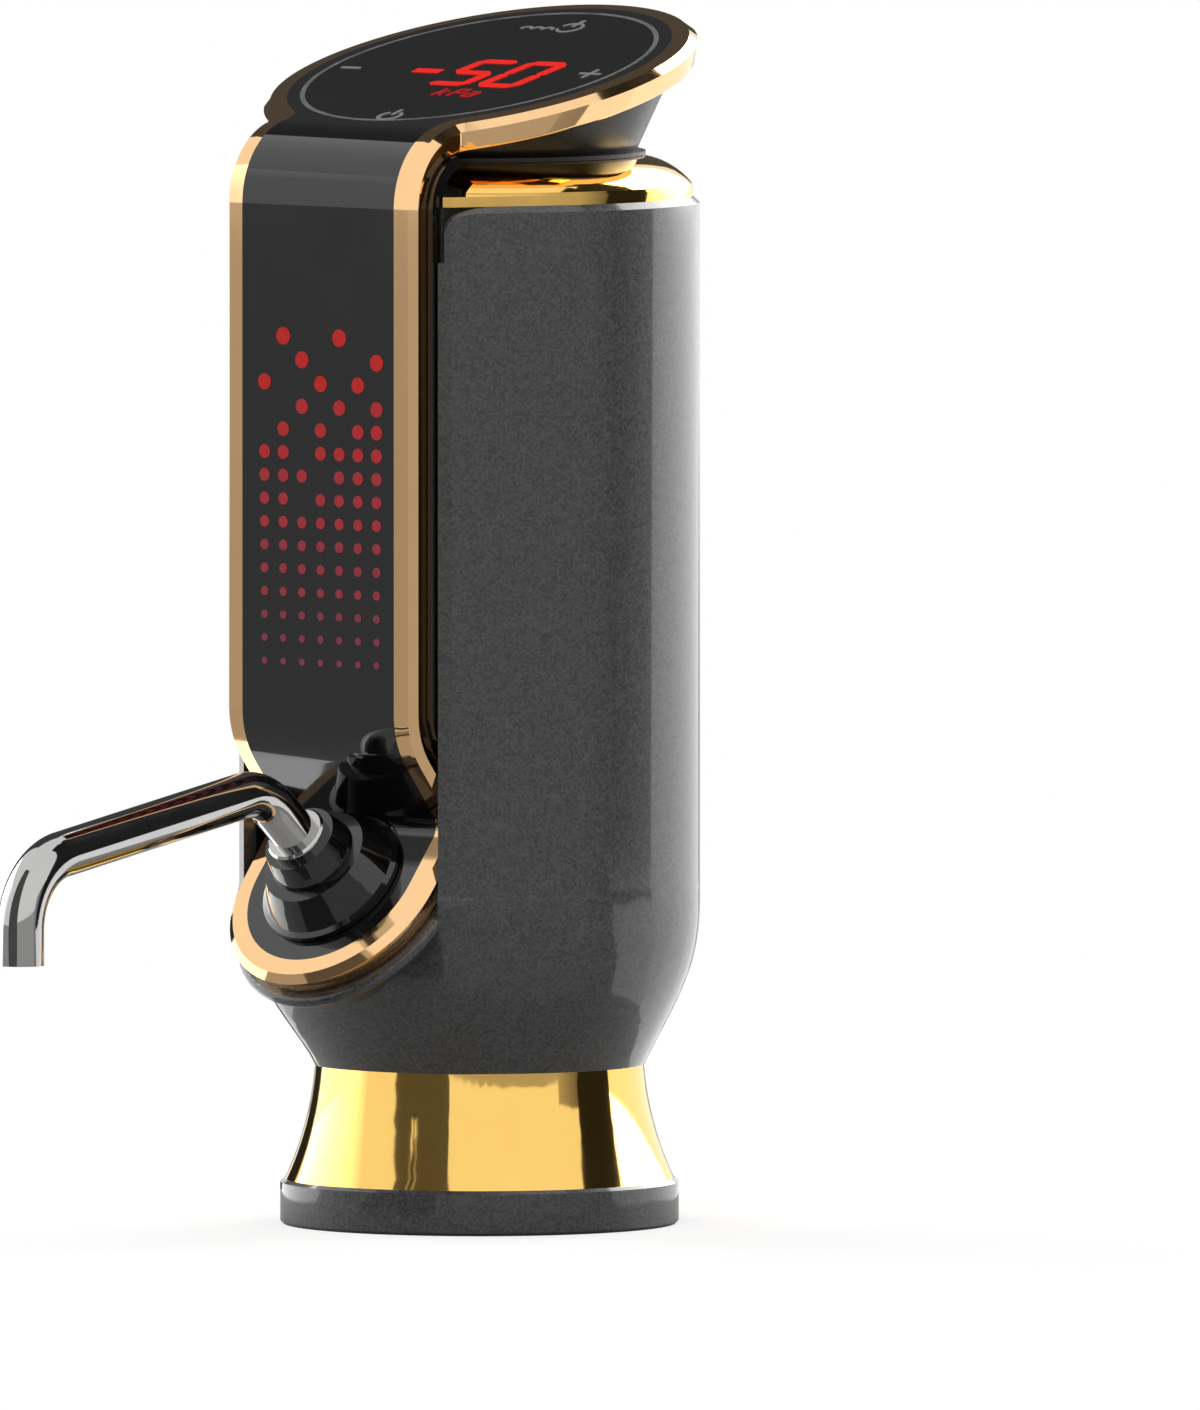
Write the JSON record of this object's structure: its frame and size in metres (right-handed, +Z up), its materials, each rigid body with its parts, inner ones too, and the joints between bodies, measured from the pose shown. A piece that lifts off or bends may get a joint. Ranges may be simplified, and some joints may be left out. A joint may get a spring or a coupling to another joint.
{
  "type": "wine preservation dispenser",
  "caption": "Battery pump head that seals a wine bottle, keeps the wine under low pressure and pours it through a swivelling steel spout.",
  "frame": {"origin": "centre of the base ring's underside, on the axis of the bottle-neck bore", "axes": "+Z up along the body's axis; -Y is the front, where the spout points; +X is to the right of someone who faces the front"},
  "size_m": [0.048, 0.1032, 0.1319],
  "materials": {
    "graphite": "fine metallic lacquer, satin",
    "gold": "polished gold plating",
    "black_gloss": "piano black, high gloss",
    "black_window": "smoked window, high gloss",
    "bezel": "dark chrome",
    "head_cone": "fine texture",
    "steel": "polished stainless steel",
    "silicone": "translucent food silicone",
    "seal": "black rubber",
    "inner_plastic": "moulded, matt",
    "pump_plastic": "moulded, matt",
    "board": "green solder mask",
    "chip": "moulded epoxy",
    "light": "red clear epoxy",
    "cell_wrap": "shrink wrap",
    "nickel": "nickel plate",
    "motor_steel": "zinc-plated steel",
    "magnet": "sintered ferrite",
    "bronze": "sintered bronze",
    "copper": "lacquered copper winding"
  },
  "bodies": {
    "casing": {"base_ring": "graphite", "gold_skirt": "gold", "stopper_core": "inner_plastic", "stopper_seal": "silicone", "outer_shell": "graphite", "rim_ring": "gold", "gold_cap": "gold", "cap_support": "inner_plastic", "head_neck": "head_cone", "front_panel": "black_gloss", "gold_trim": "gold", "panel_carrier": "black_gloss", "display_glass": "black_window", "window_bezel": "bezel", "spout_socket": "inner_plastic", "spout_nut": "inner_plastic", "chassis": "inner_plastic", "battery_cell": "cell_wrap", "cell_contacts": "nickel", "main_board": "board", "board_spacers": "inner_plastic", "board_chips": "chip", "light_board": "board", "matrix_lights": "light", "power_board": "board", "touch_board": "board", "display_module": "chip", "charging_socket": "nickel", "motor_can": "motor_steel", "motor_bushes": "bronze", "motor_magnets": "magnet", "pump_housing": "pump_plastic", "wobble_plate": "pump_plastic", "diaphragm": "seal", "valve_plate": "seal", "pump_cap": "pump_plastic", "solenoid_coil": "copper", "valve_block": "pump_plastic", "wine_hose": "silicone", "air_hose": "silicone", "pump_hose": "silicone", "skirt_screws": "motor_steel", "support_screws": "motor_steel", "head_screws": "motor_steel", "motor_screws": "motor_steel", "pump_screws": "motor_steel", "plunger_spring": "steel", "pressure_sensor": "chip", "head_gasket": "seal"},
    "spout": {"spout_collar": "black_gloss", "spout_ferrule": "steel", "spout_seals": "seal", "spout_tube": "steel"},
    "rotor": {"motor_shaft": "motor_steel", "motor_armature": "copper", "commutator": "copper", "pump_eccentric": "pump_plastic"},
    "plunger": {"solenoid_plunger": "motor_steel"}
  },
  "joints": [
    {"name": "spout_swivel", "type": "hinge", "parent": "casing", "child": "spout", "pos_m": [0, -0.0246, 0.0385], "axis": [0, -0.766, 0.6428], "range_deg": [-40, 40]},
    {"name": "motor_spin", "type": "hinge", "parent": "casing", "child": "rotor", "pos_m": [0, -0.0092, 0.08], "axis": [0, 0, 1], "continuous": true},
    {"name": "plunger_slide", "type": "slide", "parent": "casing", "child": "plunger", "axis": [-1, 0, 0], "range_m": [0, 0.0015], "stiffness_N_per_m": 120, "deforming": ["plunger_spring"]}
  ]
}
